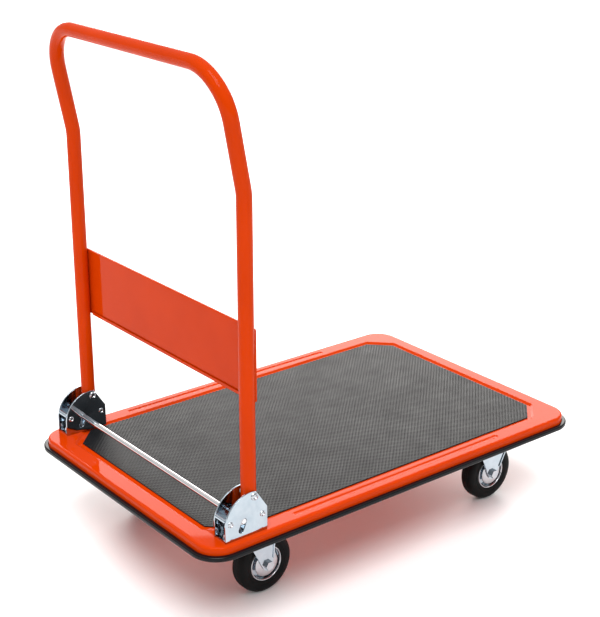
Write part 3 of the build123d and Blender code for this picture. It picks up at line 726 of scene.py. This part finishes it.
def make_panel():
    """Thin pressed panel across the uprights, with a rolled hem behind its lower edge."""
    low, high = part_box("handle_panel")
    face = high.x - PANEL_RETURN
    centre_z = (low.z + high.z) / 2
    half_y, half_z = high.y, (high.z - low.z) / 2
    bm = bmesh.new()
    side_view = [(0, high.x), (0, face), (PANEL_BORDER, face)]
    loops = []
    for p in bend(side_view, [PANEL_BEND_R]):
        corner_r = max(PANEL_CORNER_R - p.x, PANEL_CORNER_MIN)
        flat = rectangle_loop(half_y - p.x, half_z - p.x, corner_r, 0, 4)
        loops.append(bm_loop(bm, [Vector((p.y, q.x, centre_z + q.y)) for q in flat]))
    bridge_all(bm, loops)
    fill(bm, [loops[-1]])
    panel = finish_object("back_panel", bm, MATERIALS["orange_paint"])
    if sum(f.normal.x * f.area for f in panel.data.polygons) > 0:
        panel.data.flip_normals()
    thick = panel.modifiers.new("sheet", "SOLIDIFY")
    thick.thickness = PANEL_T
    thick.offset = -1
    register(panel, "handle", "orange_paint", "handle_panel")
    bm = bmesh.new()
    back = low.x + PANEL_T / 2
    roll = [(face + PANEL_T / 2, low.z + HEM_START), (face + PANEL_T / 2, low.z + PANEL_T / 2)]
    roll += [(back, low.z + PANEL_T / 2), (back, low.z + HEM_H)]
    add_strip(bm, bend(roll, [HEM_BEND_R] * 2), PANEL_T, -HEM_HALF_W, HEM_HALF_W)
    hem = finish_object("panel_hem", bm, MATERIALS["orange_paint"])
    return register(hem, "handle", "orange_paint")


# ---------- wheels ----------
# Profiles are (radius, distance from the wheel's middle). They and the tread's sizes are bare
# millimetres, turned into metres where they are used.
TYRE_SIDE = [(26.8, 10.0), (28.2, 10.0), (28.2, 12.1), (29.0, 12.5), (32.0, 12.9), (33.0, 12.9)]
TYRE_SIDE += [(33.4, 12.5), (34.0, 12.5), (34.4, 12.9), (38.5, 12.95), (42.5, 12.3)]
SHOULDER = [(45.4, 10.6), (46.9, 8.6), (47.55, 6.2)]
TREAD_LINES = (4.4, 0.0, -4.4)
TREAD_HALF_W = 0.9
TREAD_DEPTH = 0.45
CROWN_R = 47.98
CROWN_FALL = 0.02


def make_tyre(name, body):
    """Solid rubber tyre: a recess for the rim ring, a moulded wall line and fine tread lines."""
    low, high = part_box(name)
    centre = (low + high) / 2
    side = [(r * MM, d * MM) for r, d in TYRE_SIDE + SHOULDER]
    tread = []
    dip = [(0, TREAD_HALF_W), (-TREAD_DEPTH, TREAD_HALF_W / 2)]
    dip += [(-TREAD_DEPTH, -TREAD_HALF_W / 2), (0, -TREAD_HALF_W)]
    for line in TREAD_LINES:
        for dr, dd in dip:
            crown = CROWN_R - CROWN_FALL * abs(line + dd)
            tread.append(((crown + dr) * MM, (line + dd) * MM))
    outline = side + tread + [(r, -d) for r, d in reversed(side)]
    bm = bmesh.new()
    axle = Vector((centre.x, centre.y, (high.x - low.x) / 2))
    add_lathe(bm, outline, axle, sides=112)
    tyre = finish_object(name.replace("tyre", "solid_tyre"), bm, MATERIALS["tyre_rubber"], 28)
    return register(tyre, body, "tyre_rubber", name)


RING_SIDE = [(25.5, 8.8), (25.0, 8.8), (25.1, 10.4), (25.6, 11.7), (26.3, 12.5), (27.0, 12.7)]
RING_SIDE += [(27.6, 12.3), (27.9, 11.3), (27.6, 10.5), (26.9, 10.1), (25.8, 10.1)]
CORE_SIDE = [(8.0, 13.2), (11.6, 13.2), (12.0, 12.8), (12.0, 4.5), (13.0, 4.0), (24.4, 4.0)]
CORE_SIDE += [(25.3, 4.9), (25.3, 8.7), (26.8, 8.7)]


def make_rim_rings(name, body):
    """Two thin rolled rings that clamp the tyre, one on each side."""
    centre = middle(name)
    bm = bmesh.new()
    for side in (1, -1):
        add_lathe(bm, [(r * MM, side * d * MM) for r, d in RING_SIDE], centre, sides=96)
    piece_name = name.replace("rim_rings", "rolled_rings")
    rings = finish_object(piece_name, bm, MATERIALS["bright_zinc"])
    return register(rings, body, "bright_zinc", name)


def make_core(name, body):
    """Pressed wheel centre: hub, thin web set deep inside, and a thin barrel below the tyre."""
    half = [(r * MM, d * MM) for r, d in CORE_SIDE]
    bm = bmesh.new()
    add_lathe(bm, half + [(r, -d) for r, d in reversed(half)], middle(name), sides=96)
    core = finish_object(name.replace("wheel_core", "wheel_centre"), bm, MATERIALS["zinc_sheet"])
    return register(core, body, "zinc_sheet", name)


# ---------- the other nodes ----------
def smoothing_group():
    """Node group that joins split corners and smooths curved faces, leaving real edges sharp."""
    group = bpy.data.node_groups.new("smooth_curves", "GeometryNodeTree")
    group.interface.new_socket("Geometry", in_out="INPUT", socket_type="NodeSocketGeometry")
    group.interface.new_socket("Geometry", in_out="OUTPUT", socket_type="NodeSocketGeometry")
    add, link = group.nodes.new, group.links.new
    start, end = add("NodeGroupInput"), add("NodeGroupOutput")
    plain = add("GeometryNodeRemoveAttribute")
    plain.inputs["Name"].default_value = "custom_normal"
    merge = add("GeometryNodeMergeByDistance")
    merge.inputs["Distance"].default_value = 0.002 * MM
    angle = add("GeometryNodeInputMeshEdgeAngle")
    gentle = add("FunctionNodeCompare")
    gentle.operation = "LESS_THAN"
    gentle.inputs["B"].default_value = radians(30)
    faces, edges = add("GeometryNodeSetShadeSmooth"), add("GeometryNodeSetShadeSmooth")
    edges.domain = "EDGE"
    link(start.outputs[0], plain.inputs["Geometry"])
    link(plain.outputs[0], merge.inputs["Geometry"])
    link(merge.outputs[0], faces.inputs["Geometry"])
    link(faces.outputs[0], edges.inputs["Geometry"])
    link(angle.outputs["Unsigned Angle"], gentle.inputs["A"])
    link(gentle.outputs[0], edges.inputs["Shade Smooth"])
    link(edges.outputs[0], end.inputs[0])
    return group


def finish_cad_nodes():
    """Gives every CAD node the material of its slot, and shades its curved faces smooth."""
    group = smoothing_group()
    slots = {part["node"]: part["material_slot"] for part in frame["record"]["subparts"]}
    for name, part in frame["nodes"].items():
        for material_slot in part.material_slots:
            material_slot.material = MATERIALS[slots[name]]
        part.modifiers.new("smooth", "NODES").node_group = group


# ---------- studio ----------
# The camera was fitted to the photo. Yaw is clockwise from +Y seen from above, pitch is up.
CAMERA_AT = Vector((-1.31927, -1.64069, 1.14859))
CAMERA_YAW = 0.66974
CAMERA_PITCH = -0.36246
LENS = 83.15
SKY_LOW = 0.15
SKY_HIGH = 1.05
BRIGHTEST_PITCH = radians(68)
FLOOR_REACH = 60
FLOOR_LEVEL = -0.0002
AIM = Vector((0, 0, 0.15))
BEYOND_PITCH = radians(21)
BEYOND_DISTANCE = 3.0
BEYOND_SIZE = (3.0, 1.3)
BEYOND_RADIANCE = 5.0
BEYOND_TINT = (1.0, 0.965, 0.925)
KEY_YAW = radians(218)
KEY_PITCH = radians(62)
KEY_ENERGY = 2.5
KEY_ANGLE = radians(38)


def direction(yaw, pitch):
    """Unit vector: yaw is clockwise from +Y seen from above, pitch is up."""
    return Vector((sin(yaw) * cos(pitch), cos(yaw) * cos(pitch), sin(pitch)))


def looking(place, way):
    """Matrix of a camera or light at place that faces along way."""
    return Matrix.Translation(place) @ way.to_track_quat("-Z", "Y").to_matrix().to_4x4()


def add_to_scene(name, data):
    made = bpy.data.objects.new(name, data)
    bpy.context.scene.collection.objects.link(made)
    return made


def make_camera():
    data = bpy.data.cameras.new("camera")
    data.lens = LENS
    data.sensor_width = 36
    data.clip_end = 100
    camera = add_to_scene("camera", data)
    camera.matrix_world = looking(CAMERA_AT, direction(CAMERA_YAW, CAMERA_PITCH))
    bpy.context.scene.camera = camera


def make_beyond():
    """A large soft light behind the cart. The paint and metal reflect it at a grazing angle."""
    width, height = BEYOND_SIZE
    data = bpy.data.lights.new("beyond", "AREA")
    data.shape = "RECTANGLE"
    data.size, data.size_y = width, height
    data.energy = BEYOND_RADIANCE * pi * width * height
    data.color = BEYOND_TINT
    way = direction(CAMERA_YAW, BEYOND_PITCH)
    add_to_scene("beyond", data).matrix_world = looking(AIM + way * BEYOND_DISTANCE, -way)


def make_key():
    """A broad soft light from above the camera's side. It lights the whole floor evenly."""
    data = bpy.data.lights.new("key", "SUN")
    data.energy = KEY_ENERGY
    data.angle = KEY_ANGLE
    turn = (-direction(KEY_YAW, KEY_PITCH)).to_track_quat("-Z", "Y")
    add_to_scene("key", data).rotation_euler = turn.to_euler()


def make_studio():
    """White room: a world brightest high up beyond the cart, a floor, and two lights."""
    world = bpy.data.worlds.new("white_room")
    bpy.context.scene.world = world
    world.use_nodes = True
    tree = world.node_tree
    background = tree.nodes["Background"]
    background.inputs["Color"].default_value = (1, 1, 1, 1)
    way = tree.nodes.new("ShaderNodeTexCoord").outputs["Generated"]
    towards = tree.nodes.new("ShaderNodeVectorMath")
    towards.operation = "DOT_PRODUCT"
    towards.inputs[1].default_value = direction(CAMERA_YAW, BRIGHTEST_PITCH)
    climb = tree.nodes.new("ShaderNodeMapRange")
    climb.inputs["From Min"].default_value = -cos(BRIGHTEST_PITCH)
    climb.inputs["To Min"].default_value = SKY_LOW
    climb.inputs["To Max"].default_value = SKY_HIGH
    tree.links.new(way, towards.inputs[0])
    tree.links.new(towards.outputs["Value"], climb.inputs["Value"])
    tree.links.new(climb.outputs["Result"], background.inputs["Strength"])
    bm = bmesh.new()
    corners = ((-1, -1), (1, -1), (1, 1), (-1, 1))
    bm.faces.new(bm_loop(bm, [(x * FLOOR_REACH, y * FLOOR_REACH, FLOOR_LEVEL) for x, y in corners]))
    floor = finish_object("floor", bm, floor_material())
    make_beyond()
    make_key()
    bpy.context.scene.view_settings.view_transform = "Standard"
    bpy.context.scene.view_settings.look = "None"


make_camera()
make_studio()
finish_cad_nodes()
make_deck()
make_mat()
make_bumper()
make_handle_tube()
make_panel()
for side in SIDES:
    make_bracket(f"bracket_{side}")
    make_spring(f"release_spring_{side}")
    for end in ENDS:
        wheel = f"wheel_{end}_{side}"
        make_tyre(f"tyre_{end}_{side}", wheel)
        make_rim_rings(f"rim_rings_{end}_{side}", wheel)
        make_core(f"wheel_core_{end}_{side}", wheel)
